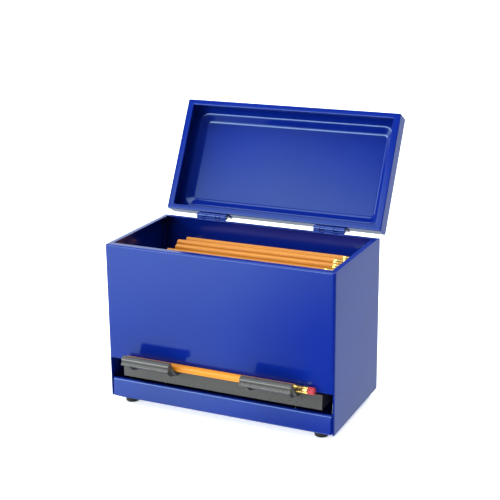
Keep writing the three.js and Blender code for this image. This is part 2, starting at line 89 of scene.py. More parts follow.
SPRING_X, SPRING_R, SPRING_WIRE_R, SPRING_PITCH = 60.0, 4.6, 0.6, 1.7
SPRING_STEPS, SPRING_TURNS = 20, 4.5
SPRING_ARM = ((0, 14, 27.2), (0, 22, 30), (0, 29, 32.2))
SPRING_LEG = ((28, 22), (25, 12), (23, 2.6))

PENCIL_FLATS, PENCIL_CORNER = 7.0, 0.75
PENCIL_Y, PENCIL_Z = -4.3, 42.4
PENCIL_START = -92.4
PRESENTED_LENGTHS = (171.6, 13.6, 6.2)
LOAD_LENGTHS = (165.5, 17.5, 8.2)
FERRULE_R, TUCK = 3.7, 1.0
BAND_START, BAND_END = 3.0, 9.8
BAND_RIBS, BAND_RIB_PITCH = 5, 1.15

ROW_COUNT, ROW_PITCH, ROW_BOTTOM = 10, 7.7, 42.4
ROW_TILT = math.radians(12)
PILE_PITCH, PILE_FRONT, PILE_BACK = 7.9, 6.6, 103.0
PILE_LEFT, RAMP_CLEARANCE = -86.5, 1.3
# LOT_AND_SHADE_SPREAD keeps the load's lot values below the presented pencil's 1.0: random tone between
# lots, plus painted shade that darkens the load in the hopper.
SHUFFLE, ROLL, TOP_ROLL, LOT_AND_SHADE_SPREAD = 3, 0.1, 0.35, 0.5
TOP_ROW = {9: (-89.4, 0.0), 10: (-83.6, 1.1), 11: (-85.7, 1.9), 12: (-79.7, 1.5)}
RAMP_FRONT, RAMP_FRONT_Z = 33.0, 41.2
RAMP_SLOPE = math.tan(math.radians(28.9))

SIDES = (("left", -1), ("right", 1))

LAMPS = (
    ("top_softbox", (-0.5, -0.7, 1.9), (0, 0, 0.12), 1.0, 25),
    ("right_softbox", (1.5, 0.6, 0.5), (0, 0, 0.1), 0.8, 4),
)
PAPER_GLOW = 0.55
CAMERA_PLACE = (448.2, -896.3, 460.5)
CAMERA_AZIMUTH, CAMERA_ELEVATION, CAMERA_ROLL = 24.78, 16.73, -0.54
LENS, SENSOR = 84.9, 36

# ---------------------------------------------------------------- frames

shell_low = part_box("body_shell")[0]
BOX_ORIGIN = Vector((0, shell_low.y, shell_low.z))
MM = 0.001


def to_row():
    return Matrix.Translation(BOX_ORIGIN) @ Matrix.Scale(MM, 4)


def lid_swing():
    """The closed lid's place turned to the open one, in the box frame."""
    axis = Matrix.Translation((0, HINGE_Y, HINGE_Z))
    return axis @ Matrix.Rotation(-LID_OPEN, 4, "X") @ axis.inverted()


def row_point(x, y, z):
    return to_row() @ Vector((x, y, z))


# ---------------------------------------------------------------- material tools


def new_material(name):
    material = bpy.data.materials.new(name)
    material.use_nodes = True
    tree = material.node_tree
    shader = tree.nodes["Principled BSDF"]
    return material, tree, shader


def object_coordinates(tree, scale=(1, 1, 1)):
    coordinates = tree.nodes.new("ShaderNodeTexCoord")
    mapping = tree.nodes.new("ShaderNodeMapping")
    mapping.inputs["Scale"].default_value = scale
    tree.links.new(coordinates.outputs["Object"], mapping.inputs["Vector"])
    return mapping.outputs["Vector"]


def noise(tree, vector, scale, detail=3.0, roughness=0.5):
    node = tree.nodes.new("ShaderNodeTexNoise")
    node.inputs["Scale"].default_value = scale
    node.inputs["Detail"].default_value = detail
    node.inputs["Roughness"].default_value = roughness
    tree.links.new(vector, node.inputs["Vector"])
    return node.outputs["Fac"]


def ramp(tree, factor, stops):
    node = tree.nodes.new("ShaderNodeValToRGB")
    elements = node.color_ramp.elements
    while len(elements) < len(stops):
        elements.new(0.5)
    for element, (position, colour) in zip(elements, stops):
        element.position = position
        element.color = (*colour, 1)
    tree.links.new(factor, node.inputs["Fac"])
    return node.outputs["Color"]


def spread(tree, factor, low, high):
    node = tree.nodes.new("ShaderNodeMapRange")
    node.inputs["To Min"].default_value = low
    node.inputs["To Max"].default_value = high
    tree.links.new(factor, node.inputs["Value"])
    return node.outputs["Result"]


def bump(tree, height, strength, distance, under=None):
    node = tree.nodes.new("ShaderNodeBump")
    node.inputs["Strength"].default_value = strength
    node.inputs["Distance"].default_value = distance
    tree.links.new(height, node.inputs["Height"])
    if under is not None:
        tree.links.new(under, node.inputs["Normal"])
    return node.outputs["Normal"]


def powder_coat():
    """Glossy ultramarine powder coat: a fine orange peel, with faint drifts of tone and gloss."""
    material, tree, shader = new_material("blue_powder_coat")
    place = object_coordinates(tree)
    drift = noise(tree, place, 9, 2)
    tone = ramp(tree, drift, [(0.3, (0.0014, 0.0092, 0.140)), (0.7, (0.0018, 0.0115, 0.158))])
    tree.links.new(tone, shader.inputs["Base Color"])
    gloss = noise(tree, place, 60, 4)
    tree.links.new(spread(tree, gloss, 0.08, 0.14), shader.inputs["Roughness"])
    peel = bump(tree, noise(tree, place, 1100, 2), 0.10, 0.00003)
    wave = bump(tree, noise(tree, place, 22, 1), 0.04, 0.0003, peel)
    tree.links.new(wave, shader.inputs["Normal"])
    shader.inputs["Specular IOR Level"].default_value = 0.5
    shader.inputs["Specular Tint"].default_value = (0.57, 0.80, 1.0, 1.0)
    return material


def moulded_grey():
    """Satin grey moulding: a fine spark texture and a slight streak along the flow."""
    material, tree, shader = new_material("grey_moulded_plastic")
    place = object_coordinates(tree)
    streak = noise(tree, object_coordinates(tree, (6, 60, 60)), 1.0, 4)
    tone = ramp(tree, streak, [(0.3, (0.043, 0.040, 0.037)), (0.7, (0.051, 0.048, 0.045))])
    tree.links.new(tone, shader.inputs["Base Color"])
    tree.links.new(spread(tree, noise(tree, place, 45, 2), 0.25, 0.31), shader.inputs["Roughness"])
    spark = bump(tree, noise(tree, place, 700, 1), 0.03, 0.00002)
    tree.links.new(spark, shader.inputs["Normal"])
    return material


def zinc_plate():
    """Dull bright zinc, clouded as plated steel is."""
    material, tree, shader = new_material("zinc_plated_steel")
    place = object_coordinates(tree)
    cloud = noise(tree, place, 160, 4)
    tone = ramp(tree, cloud, [(0.35, (0.26, 0.265, 0.28)), (0.65, (0.40, 0.41, 0.43))])
    tree.links.new(tone, shader.inputs["Base Color"])
    shader.inputs["Metallic"].default_value = 1.0
    tree.links.new(spread(tree, noise(tree, place, 500, 3), 0.3, 0.46), shader.inputs["Roughness"])
    return material


def black_rubber():
    """Matt black moulding with a fine grain."""
    material, tree, shader = new_material("black_rubber")
    place = object_coordinates(tree)
    patch = noise(tree, place, 220, 4)
    tone = ramp(tree, patch, [(0.3, (0.010, 0.010, 0.011)), (0.7, (0.020, 0.020, 0.021))])
    tree.links.new(tone, shader.inputs["Base Color"])
    tree.links.new(spread(tree, noise(tree, place, 500, 2), 0.6, 0.85), shader.inputs["Roughness"])
    shader.inputs["Specular IOR Level"].default_value = 0.15
    tree.links.new(bump(tree, noise(tree, place, 1800, 2), 0.3, 0.00008), shader.inputs["Normal"])
    return material


def pencil_lacquer():
    """Thick yellow-orange lacquer over cedar, the grain just telegraphing through along the barrel. Each
    pencil's lot value dims it: a random tone between lots, and painted shade that keeps the load in the
    hopper darker than the lit presented pencil.
    """
    material, tree, shader = new_material("pencil_lacquer")
    grain = noise(tree, object_coordinates(tree, (14, 420, 420)), 1.0, 4, 0.6)
    tone = ramp(tree, grain, [(0.3, (0.60, 0.195, 0.004)), (0.7, (0.72, 0.250, 0.007))])
    # The per-pencil lot value dims the lacquer: random tone, plus painted shade on the load and painted
    # light on the presented pencil.
    lot_and_shade = tree.nodes.new("ShaderNodeAttribute")
    lot_and_shade.attribute_name = "lot_and_shade"
    lot_and_shade_dim = tree.nodes.new("ShaderNodeHueSaturation")
    tree.links.new(spread(tree, lot_and_shade.outputs["Fac"], 0.55, 0.8), lot_and_shade_dim.inputs["Value"])
    tree.links.new(tone, lot_and_shade_dim.inputs["Color"])
    tree.links.new(lot_and_shade_dim.outputs["Color"], shader.inputs["Base Color"])
    shader.inputs["Roughness"].default_value = 0.34
    shader.inputs["Coat Weight"].default_value = 0.1
    shader.inputs["Specular IOR Level"].default_value = 0.3
    shader.inputs["Coat Roughness"].default_value = 0.14
    tree.links.new(bump(tree, grain, 0.25, 0.00006), shader.inputs["Normal"])
    return material


def cedar():
    """Sawn end grain of the barrel."""
    material, tree, shader = new_material("cedar_end_grain")
    rings = noise(tree, object_coordinates(tree, (90, 900, 260)), 1.0, 5, 0.6)
    tone = ramp(tree, rings, [(0.3, (0.30, 0.13, 0.06)), (0.7, (0.52, 0.29, 0.16))])
    tree.links.new(tone, shader.inputs["Base Color"])
    shader.inputs["Roughness"].default_value = 0.8
    tree.links.new(bump(tree, rings, 0.3, 0.0001), shader.inputs["Normal"])
    return material


def graphite():
    """Dull grey-black lead."""
    material, tree, shader = new_material("graphite")
    place = object_coordinates(tree)
    grain = noise(tree, place, 900, 3)
    tone = ramp(tree, grain, [(0.3, (0.018, 0.018, 0.020)), (0.7, (0.05, 0.05, 0.055))])
    tree.links.new(tone, shader.inputs["Base Color"])
    shader.inputs["Roughness"].default_value = 0.45
    tree.links.new(bump(tree, noise(tree, place, 2500, 2), 0.3, 0.00005), shader.inputs["Normal"])
    return material


def ferrule_brass():
    """Bright gilt ferrule, lightly tarnished."""
    material, tree, shader = new_material("ferrule_brass")
    place = object_coordinates(tree)
    tarnish = noise(tree, place, 260, 4)
    tone = ramp(tree, tarnish, [(0.3, (0.72, 0.46, 0.10)), (0.7, (0.93, 0.70, 0.25))])
    tree.links.new(tone, shader.inputs["Base Color"])
    shader.inputs["Metallic"].default_value = 1.0
    tree.links.new(spread(tree, noise(tree, place, 700, 3), 0.16, 0.32), shader.inputs["Roughness"])
    return material


def ferrule_band():
    """The dark red lacquer rubbed into the crimped middle of a ferrule."""
    material, tree, shader = new_material("ferrule_band")
    place = object_coordinates(tree)
    wear = noise(tree, place, 800, 3)
    tone = ramp(tree, wear, [(0.4, (0.050, 0.012, 0.008)), (0.62, (0.42, 0.20, 0.05))])
    tree.links.new(tone, shader.inputs["Base Color"])
    shader.inputs["Metallic"].default_value = 0.6
    shader.inputs["Roughness"].default_value = 0.3
    return material


def eraser_rubber():
    """Matt red rubber with a dusty skin."""
    material, tree, shader = new_material("eraser_rubber")
    place = object_coordinates(tree)
    dust = noise(tree, place, 420, 4)
    tone = ramp(tree, dust, [(0.3, (0.30, 0.016, 0.026)), (0.7, (0.42, 0.030, 0.042))])
    tree.links.new(tone, shader.inputs["Base Color"])
    shader.inputs["Roughness"].default_value = 0.72
    tree.links.new(bump(tree, noise(tree, place, 1500, 3), 0.35, 0.0001), shader.inputs["Normal"])
    return material


BLUE = powder_coat()
GREY = moulded_grey()
ZINC = zinc_plate()
RUBBER = black_rubber()
LACQUER = pencil_lacquer()
CEDAR = cedar()
GRAPHITE = graphite()
BRASS = ferrule_brass()
BAND = ferrule_band()
ERASER = eraser_rubber()

# ---------------------------------------------------------------- mesh tools


def cuboid(bm, x, y, z):
    """A box between the given (low, high) pairs."""
    size = Vector((x[1] - x[0], y[1] - y[0], z[1] - z[0]))
    middle = Vector((sum(x), sum(y), sum(z))) / 2
    matrix = Matrix.Translation(middle) @ Matrix.Diagonal((*size, 1))
    bmesh.ops.create_cube(bm, size=1, matrix=matrix)


def cut_planes(bm, *planes):
    """Cuts the whole mesh along planes given as (axis, value)."""
    for axis, value in planes:
        normal = Vector([float(i == axis) for i in range(3)])
        geometry = bm.verts[:] + bm.edges[:] + bm.faces[:]
        bmesh.ops.bisect_plane(bm, geom=geometry, plane_co=normal * value, plane_no=normal, dist=1e-5)


def drop_faces(bm, test):
    gone = [f for f in bm.faces if test(f.calc_center_median(), f.normal)]
    bmesh.ops.delete(bm, geom=gone, context="FACES")


def edges_where(bm, test):
    """Edges both of whose ends pass the test."""
    return [e for e in bm.edges if all(test(v.co) for v in e.verts)]


def round_edges(bm, edges, radius, segments):
    bmesh.ops.bevel(
        bm, geom=edges, offset=radius, offset_type="OFFSET", affect="EDGES",
        segments=segments, profile=0.5, material=-1, clamp_overlap=True,
    )


def near(a, b, slack=1e-3):
    return abs(a - b) < slack


def profile_ring(bm, points, centre, steps):
    """Spins an open profile of (radius, height) points about a vertical line: a turned piece."""
    first = [bm.verts.new((centre[0] + r, centre[1], h)) for r, h in points]
    edges = [bm.edges.new(pair) for pair in zip(first, first[1:])]
    bmesh.ops.spin(
        bm, geom=first + edges, cent=(*centre, 0), axis=(0, 0, 1), angle=2 * math.pi,
        steps=steps, use_merge=True, use_duplicate=False,
    )
    bmesh.ops.remove_doubles(bm, verts=bm.verts, dist=1e-4)


def outline_bar(bm, points, x0, x1):
    """A closed (y, z) outline extruded from x0 to x1."""
    face = bm.faces.new([bm.verts.new((x0, y, z)) for y, z in points])
    made = bmesh.ops.extrude_face_region(bm, geom=[face])["geom"]
    moved = [v for v in made if isinstance(v, bmesh.types.BMVert)]
    bmesh.ops.translate(bm, verts=moved, vec=(x1 - x0, 0, 0))


def make_piece(name, bm, materials, body, nodes=(), turn=None, smooth=32, close=True):
    """Turns a box-frame bmesh into a finished object that rides on a body."""
    if close:
        bmesh.ops.remove_doubles(bm, verts=bm.verts, dist=1e-4)
        bmesh.ops.recalc_face_normals(bm, faces=bm.faces)
    matrix = to_row() @ turn if turn else to_row()
    bmesh.ops.transform(bm, matrix=matrix, verts=bm.verts)
    mesh = bpy.data.meshes.new(name)
    bm.to_mesh(mesh)
    bm.free()
    for material in materials:
        mesh.materials.append(material)
    mesh.shade_smooth()
    mesh.set_sharp_from_angle(angle=math.radians(smooth))
    piece = bpy.data.objects.new(name, mesh)
    bpy.context.scene.collection.objects.link(piece)
    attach(piece, body)
    if nodes:
        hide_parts(*nodes)
    return piece


def give_thickness(piece, thickness, edge=0.22):
    """Sheet of the given thickness behind the modelled skin, with its cut edges just broken."""
    wall = piece.modifiers.new("wall", "SOLIDIFY")
    wall.thickness = thickness * MM
    wall.offset = -1
    soften(piece, edge)


def soften(piece, width, segments=2, angle=40):
    breaks = piece.modifiers.new("edges", "BEVEL")
    breaks.width = width * MM
    breaks.segments = segments
    breaks.limit_method = "ANGLE"
    breaks.angle_limit = math.radians(angle)
    breaks.use_clamp_overlap = True
    even = piece.modifiers.new("flats", "WEIGHTED_NORMAL")
    even.weight = 100
    even.keep_sharp = True


def face_outwards(bm, test, direction):
    """Turns an open skin over if the face that passes the test looks away from the direction."""
    bmesh.ops.recalc_face_normals(bm, faces=bm.faces)
    bm.normal_update()
    probe = next(f for f in bm.faces if test(f.calc_center_median()))
    if probe.normal.dot(Vector(direction)) < 0:
        bmesh.ops.reverse_faces(bm, faces=bm.faces)


# ---------------------------------------------------------------- sheet-metal body


def build_shell():
    """Front panel and sides in one wrap, rim turned in, the slot left open above the lip."""
    bm = bmesh.new()
    cuboid(bm, (-BODY_HALF, BODY_HALF), (0, BODY_D), (0, BODY_H))
    drop_faces(bm, lambda c, n: n.z < -0.5 or n.y > 0.5)
    uprights = edges_where(bm, lambda v: near(v.y, 0) and near(abs(v.x), BODY_HALF))
    uprights = [e for e in uprights if near(e.verts[0].co.x, e.verts[1].co.x)]
    round_edges(bm, uprights, CORNER_BEND, 6)
    top_edges = [
        e for e in bm.edges
        if all(near(v.co.z, BODY_H) for v in e.verts) and len(e.link_faces) == 2
    ]
    round_edges(bm, top_edges, RIM_BEND, 4)
    mouth = BODY_HALF - RIM_SIDE
    back_of_rim = BODY_D - RIM_BACK - PART_GAP
    inner = BODY_HALF - SHEET
    cut_planes(bm, (0, -mouth), (0, mouth), (1, RIM_FRONT), (1, back_of_rim), (2, SLOT_TOP))
    cut_planes(bm, (0, -inner), (0, inner))
    drop_faces(bm, lambda c, n: n.z > 0.9 and abs(c.x) < mouth and c.y > RIM_FRONT)
    drop_faces(bm, lambda c, n: n.z > 0.9 and c.y > back_of_rim and abs(c.x) < BODY_HALF - 2 * RIM_BEND)
    drop_faces(bm, lambda c, n: c.y < CORNER_BEND and c.z < SLOT_TOP and abs(c.x) < inner)
    face_outwards(bm, lambda c: near(c.y, 0, 0.01) and c.z > SLOT_TOP, (0, -1, 0))
    piece = make_piece(
        "body_shell_wrap", bm, [BLUE], "body", ["body_shell"], close=False,
    )
    give_thickness(piece, SHEET)


def build_back_panel():
    """Back sheet with a turned-in rim and side flanges that lap the wrap."""
    bm = bmesh.new()
    flange_low = PAN_FLANGE + BACK_FOOT_NOTCH
    flange_high = BODY_H - BACK_TOP_NOTCH
    cuboid(bm, (-BACK_HALF, BACK_HALF), (BODY_D - BACK_WRAP, BODY_D), (PART_GAP, BODY_H))
    drop_faces(bm, lambda c, n: n.z < -0.5 or n.y < -0.5)
    cut_planes(bm, (1, BODY_D - RIM_BACK), (2, flange_low), (2, flange_high))
    drop_faces(bm, lambda c, n: n.z > 0.5 and c.y < BODY_D - RIM_BACK)
    drop_faces(bm, lambda c, n: abs(n.x) > 0.5 and (c.z > flange_high or c.z < flange_low))
    bends = [e for e in bm.edges if len(e.link_faces) == 2 and e.calc_face_angle() > 1]
    round_edges(bm, bends, RIM_BEND, 4)
    face_outwards(bm, lambda c: near(c.y, BODY_D, 0.01), (0, 1, 0))
    piece = make_piece(
        "back_panel_sheet", bm, [BLUE], "body", ["back_panel"], close=False,
    )
    give_thickness(piece, SHEET)


def build_base_pan():
    """Floor with upturned edges; the front one is the lip under the slot, its top turned in."""
    bm = bmesh.new()
    back = BODY_D - SHEET - PART_GAP
    cuboid(bm, (-PAN_HALF, PAN_HALF), (0, back), (0, LIP_H))
    drop_faces(bm, lambda c, n: n.z > 0.5)
    cut_planes(bm, (1, LIP_BEND), (2, PAN_FLANGE))
    drop_faces(bm, lambda c, n: c.y > LIP_BEND and c.z > PAN_FLANGE)
    lip_top = edges_where(bm, lambda v: near(v.z, LIP_H) and near(v.y, 0))
    turned = bmesh.ops.extrude_edge_only(bm, edges=lip_top)["geom"]
    turned_in = [v for v in turned if isinstance(v, bmesh.types.BMVert)]
    bmesh.ops.translate(bm, verts=turned_in, vec=(0, LIP_BEND + 1, 0))
    bends = [e for e in bm.edges if len(e.link_faces) == 2 and e.calc_face_angle() > 1]
    round_edges(bm, bends, LIP_BEND, 5)
    for vert in bm.verts:
        if vert.co.y < LIP_BEND + 1.5:
            vert.co.y += LIP_LEAN * vert.co.z / LIP_H
    face_outwards(bm, lambda c: near(c.z, 0, 0.01) and 40 < c.y < 80, (0, 0, -1))
    piece = make_piece(
        "base_pan_sheet", bm, [BLUE], "body", ["base_pan"], close=False,
    )
    give_thickness(piece, SHEET)


# ---------------------------------------------------------------- lid


def rounded_loop(bm, x, y, z, radius, segments=6):
    """A level rounded rectangle as a loop of edges."""
    matrix = Matrix.Translation((sum(x) / 2, sum(y) / 2, z))
    matrix = matrix @ Matrix.Diagonal(((x[1] - x[0]) / 2, (y[1] - y[0]) / 2, 1, 1))
    corners = bmesh.ops.create_grid(bm, x_segments=1, y_segments=1, size=1, matrix=matrix)["verts"]
    made = bmesh.ops.bevel(
        bm, geom=corners, offset=radius, offset_type="OFFSET", affect="VERTICES",
        segments=segments, profile=0.5, material=-1, clamp_overlap=True,
    )
    face = made["verts"][0].link_faces[0]
    edges = list(face.edges)
    bmesh.ops.delete(bm, geom=[face], context="FACES_ONLY")
    return edges


def lid_ring(bm, z, margins):
    """The bent edges of the level loop that lies the given margins inside the lid's outline."""
    middle = (BODY_D + LID_FRONT) / 2
    reach_x = LID_HALF - margins[0]
    reach_y = (BODY_D - LID_FRONT) / 2 - margins[1]
    corner, slack = EMBOSS_CORNER + 0.5, 0.6

    def on_loop(v):
        out_x = reach_x - abs(v.x)
        out_y = reach_y - abs(v.y - middle)
        inside = min(out_x, out_y) > -slack and min(out_x, out_y) < corner
        return near(v.z, z) and inside and (min(out_x, out_y) < slack or out_x + out_y < corner)

    return [e for e in edges_where(bm, on_loop) if len(e.link_faces) == 2 and e.calc_face_angle() > 0.2]


def build_lid():
    """Pan with turned-in rim and a raised, round-cornered panel, drawn closed and swung open."""
    bm = bmesh.new()
    top = LID_Z + LID_H

    def inset(side, front, back, z, radius):
        x = LID_HALF - side
        return rounded_loop(bm, (-x, x), (LID_FRONT + front, BODY_D - back), z, radius)

    slope_end = EMBOSS_MARGIN + EMBOSS_SLOPE
    crown = top + EMBOSS_RISE
    hem = LID_RIM["side"], LID_RIM["front"], LID_RIM["back"]
    loops = [
        inset(*hem, LID_Z + LID_HEM, HEM_CORNER),
        inset(*hem, LID_Z, HEM_CORNER),
        inset(0, 0, 0, LID_Z, LID_CORNER),
        inset(0, 0, 0, top, LID_CORNER),
        inset(EMBOSS_MARGIN, EMBOSS_MARGIN, EMBOSS_MARGIN, top, EMBOSS_CORNER),
        inset(slope_end, slope_end, slope_end, crown, PANEL_CORNER),
    ]
    for low, high in zip(loops, loops[1:]):
        bmesh.ops.bridge_loops(bm, edges=low + high)
    bmesh.ops.contextual_create(bm, geom=loops[-1])
    for z, margins, radius in (
        (LID_Z, (LID_RIM["side"], HEM_DEPTH), HEM_BEND),
        (LID_Z, (0, 0), HEM_BEND),
        (top, (0, 0), LID_BEND),
        (top, (EMBOSS_MARGIN, EMBOSS_MARGIN), STEP_BEND),
        (crown, (slope_end, slope_end), PANEL_BEND),
    ):
        round_edges(bm, lid_ring(bm, z, margins), radius, 4)
    face_outwards(bm, lambda c: c.z > crown - 0.01, (0, 0, 1))
    piece = make_piece(
        "lid_pan_sheet", bm, [BLUE], "lid", ["lid_pan"],
        turn=lid_swing(), close=False,
    )
    give_thickness(piece, SHEET)


# ---------------------------------------------------------------- hinges

KNUCKLES = (
    (0, 6.35, True), (6.65, 10.85, False), (11.15, 20.85, True), (21.15, 25.35, False), (25.65, 32, True),
)


def build_leaf(name, centre, body):
    """A leaf cut from strip, its knuckles rolled round the pin."""
    bm = bmesh.new()
    on_body = body == "body"
    plane_y = LEAF_Y + LEAF_T / 2
    up = -1 if on_body else 1
    root = HINGE_Z + up * LEAF_ROOT
    tip = LEAF_TIP[body]
    x0 = centre - HINGE_W / 2
    stops = sorted({x0 + s for start, end, _ in KNUCKLES for s in (start, end)})
    for left, right in zip(stops, stops[1:]):
        low = [bm.verts.new((left, plane_y, z)) for z in (tip, root)]
        strip = [bm.edges.new(low)]
        if any(near(x0 + k[0], left) and k[2] == on_body for k in KNUCKLES):
            tangent = bm.verts.new((left, plane_y, HINGE_Z))
            bm.edges.new((low[1], tangent))
            bmesh.ops.spin(
                bm, geom=[tangent], cent=(0, HINGE_Y, HINGE_Z), axis=(1, 0, 0),
                angle=up * LEAF_ROLL, steps=22, use_merge=False, use_duplicate=False,
            )
            strip = [e for e in bm.edges if all(near(v.co.x, left) for v in e.verts)]
            strip = [e for e in strip if not e.link_faces]
        made = bmesh.ops.extrude_edge_only(bm, edges=strip)["geom"]
        moved = [v for v in made if isinstance(v, bmesh.types.BMVert)]
        bmesh.ops.translate(bm, verts=moved, vec=(right - left, 0, 0))
    bmesh.ops.remove_doubles(bm, verts=bm.verts, dist=1e-3)
    face_outwards(bm, lambda c: near(c.y, plane_y) and abs(c.z - tip) < 20, (0, 1, 0))
    node = f"hinge_{body}_leaf_{name}"
    piece = make_piece(
        f"{node}_rolled", bm, [BLUE], body, [node],
        turn=None if on_body else lid_swing(), close=False,
    )
    give_thickness(piece, LEAF_T, 0.18)
    piece.modifiers["wall"].offset = 0


def build_rivet(name, x, row):
    """A domed rivet with its tail set flat inside the sheet."""
    bm = bmesh.new()
    inside = BODY_D - SHEET - PART_GAP
    outside = LEAF_Y + LEAF_T + 0.25
    arc = [i * math.pi / 16 for i in range(8)]
    dome = [(RIVET_HEAD_R * math.cos(a), outside + RIVET_DOME * math.sin(a)) for a in arc]
    points = [
        (0, inside - 0.85), (1.9, inside - 0.85), (2.3, inside - 0.5), (2.3, inside),
        (RIVET_SHANK_R, inside), (RIVET_SHANK_R, outside), *dome, (0, outside + RIVET_DOME),
    ]
    profile_ring(bm, points, (0, 0), 20)
    to_back = Matrix.Translation((x, 0, RIVET_Z[row])) @ Matrix.Rotation(-math.pi / 2, 4, "X")
    bmesh.ops.transform(bm, matrix=to_back, verts=bm.verts)
    turn = lid_swing() if row == "lid" else None
    make_piece(f"{name}_domed", bm, [ZINC], row, [name], turn=turn)


def build_hinges():
    """Both hinges: leaves, rivets and pin."""
    for name, side in SIDES:
        centre = side * HINGE_X
        build_leaf(name, centre, "body")
        build_leaf(name, centre, "lid")
        for row in ("body", "lid"):
            for i, step in enumerate((-RIVET_SPREAD, RIVET_SPREAD)):
                build_rivet(f"rivet_{row}_{name}_{i + 1}", centre + step, row)
        bm = bmesh.new()
        half = HINGE_W / 2 + 0.5
        matrix = Matrix.Translation((centre, HINGE_Y, HINGE_Z)) @ Matrix.Rotation(math.pi / 2, 4, "Y")
        bmesh.ops.create_cone(
            bm, cap_ends=True, segments=20, radius1=PIN_R, radius2=PIN_R, depth=2 * half, matrix=matrix,
        )
        round_edges(bm, [e for e in bm.edges if e.calc_face_angle() > 1], 0.3, 2)
        make_piece(f"hinge_pin_{name}_rod", bm, [ZINC], "body", [f"hinge_pin_{name}"])


# ---------------------------------------------------------------- feet


def build_feet():
    """Rubber bumpers, each held by a pan-head screw sunk in its recess."""
    top = -PART_GAP
    base = -FOOT_H
    foot = [
        (FOOT_RECESS_R, base + FOOT_RECESS), (FOOT_RECESS_R, base + 0.4), (FOOT_RECESS_R + 0.4, base),
        (FOOT_R - 1.6, base), (FOOT_R - 0.9, base + 0.3), (FOOT_R - 0.5, base + 0.9), (FOOT_R, top - 0.6),
        (FOOT_R - 0.2, top - 0.15), (FOOT_R - 0.6, top), (1.8, top), (1.8, base + FOOT_RECESS),
        (FOOT_RECESS_R, base + FOOT_RECESS),
    ]
    head_top = base + FOOT_RECESS - PART_GAP
    screw = [
        (0, head_top - 1.9), (1.2, head_top - 1.8), (2.3, head_top - 1.3), (3.0, head_top - 0.6),
        (3.2, head_top), (1.5, head_top), (1.5, 5.0), (0, 5.0),
    ]
    for row, y in (("front", FOOT_INSET), ("back", BODY_D - FOOT_INSET)):
        for name, side in SIDES:
            centre = (side * FOOT_X, y)
            bm = bmesh.new()
            profile_ring(bm, foot, centre, 40)
            node = f"foot_{row}_{name}"
            make_piece(f"{node}_bumper", bm, [RUBBER], "body", [node])
            bm = bmesh.new()
            profile_ring(bm, screw, centre, 28)
            node = f"foot_screw_{row}_{name}"
            piece = make_piece(f"{node}_pan_head", bm, [ZINC], "body", [node])
            carve_cross(piece, centre, head_top - 1.9)


def carve_cross(piece, centre, z):
    """Sinks a cross recess into a screw head."""
    bm = bmesh.new()
    x, y = centre
    for long, short in ((1.9, 0.42), (0.42, 1.9)):
        cuboid(bm, (x - long, x + long), (y - short, y + short), (z - 1, z + 1.1))
    combine(piece, [tool_object(bm)], "DIFFERENCE")


def tool_object(bm):
    """A box-frame bmesh as a passing object, for joining to a piece or cutting it."""
    bmesh.ops.transform(bm, matrix=to_row(), verts=bm.verts)
    mesh = bpy.data.meshes.new("tool")
    bm.to_mesh(mesh)
    bm.free()
    tool = bpy.data.objects.new("tool", mesh)
    bpy.context.scene.collection.objects.link(tool)
    return tool


def combine(piece, tools, operation):
    """Joins or cuts a piece with other objects, which are used up."""
    for tool in tools:
        step = piece.modifiers.new("step", "BOOLEAN")
        step.operation = operation
        step.solver = "EXACT"
        step.use_self = True
        step.object = tool
    depsgraph = bpy.context.evaluated_depsgraph_get()
    mesh = bpy.data.meshes.new_from_object(piece.evaluated_get(depsgraph))
    old = piece.data
    piece.modifiers.clear()
    piece.data = mesh
    mesh.name = old.name
    bpy.data.meshes.remove(old)
    for tool in tools:
        bpy.data.objects.remove(tool)
    mesh.shade_smooth()
    mesh.set_sharp_from_angle(angle=math.radians(32))


# ---------------------------------------------------------------- rocker

ROCKER_BACK = 36.0
FLOOR_AND_FACE = [
    (ROCKER_BACK, 38.2), (4.5, 35.9), (4.5, 21.4),
    (4.5 + SKIN, 21.4), (4.5 + SKIN, 33.9), (ROCKER_BACK, 36.2),
]
CREST, BROW = (-16.8, 52.6), (-22.1, 50.5)
FINGER_SKIN = [
    (6, 36), (-5, 37.3), (-11.3, 43.5), CREST, BROW, (-21.6, 46.3), (-22.9, 45.4), (-22.8, 43.9),
    (-20.1, 43.9), (-20.1, 48.8), (-17.4, 49.5), (-12.9, 42.1), (-5.8, 35.2), (6, 34),
]
FINGER_RIB = [
    (6, 35.5), (-5, 36.7), (-11.3, 42.9), (-16.6, 50.4), (-21.3, 49),
    (-21.1, 44.6), (-11, 35.5), (5.7, 30.5),
]
RIB_INSET, RIB_T = 4.0, 1.5
SKIN_ROUNDS = (
    (*CREST, 1.9), (*BROW, 2.0), (-5, 37.3, 3.0), (-20.1, 48.8, 1.0), (-17.4, 49.5, 1.0),
    (-21.6, 46.3, 0.4), (-22.9, 45.4, 0.6), (-22.8, 43.9, 0.6),
)
RIB_ROUNDS = ((-16.6, 50.4, 2.0), (-21.3, 49, 1.8), (-11, 35.5, 1.0))
CHEEK = [
    (5, 35), (5, 21.4), (PIVOT_Y - 6, PIVOT_Z - 6), (PIVOT_Y + 2, PIVOT_Z - 6), (PIVOT_Y + 6, PIVOT_Z - 2),
    (PIVOT_Y + 6, PIVOT_Z + 3), (ROCKER_BACK, 37.2),
]


def bar_object(points, x0, x1, rounds=()):
    """An outline bar as an object of its own, some of its long edges rounded: (y, z, radius)."""
    bm = bmesh.new()
    outline_bar(bm, points, x0, x1)
    bmesh.ops.recalc_face_normals(bm, faces=bm.faces)
    for y, z, radius in rounds:
        long_edges = edges_where(bm, lambda v: near(v.y, y) and near(v.z, z))
        round_edges(bm, long_edges, radius, 6)
    return tool_object(bm)


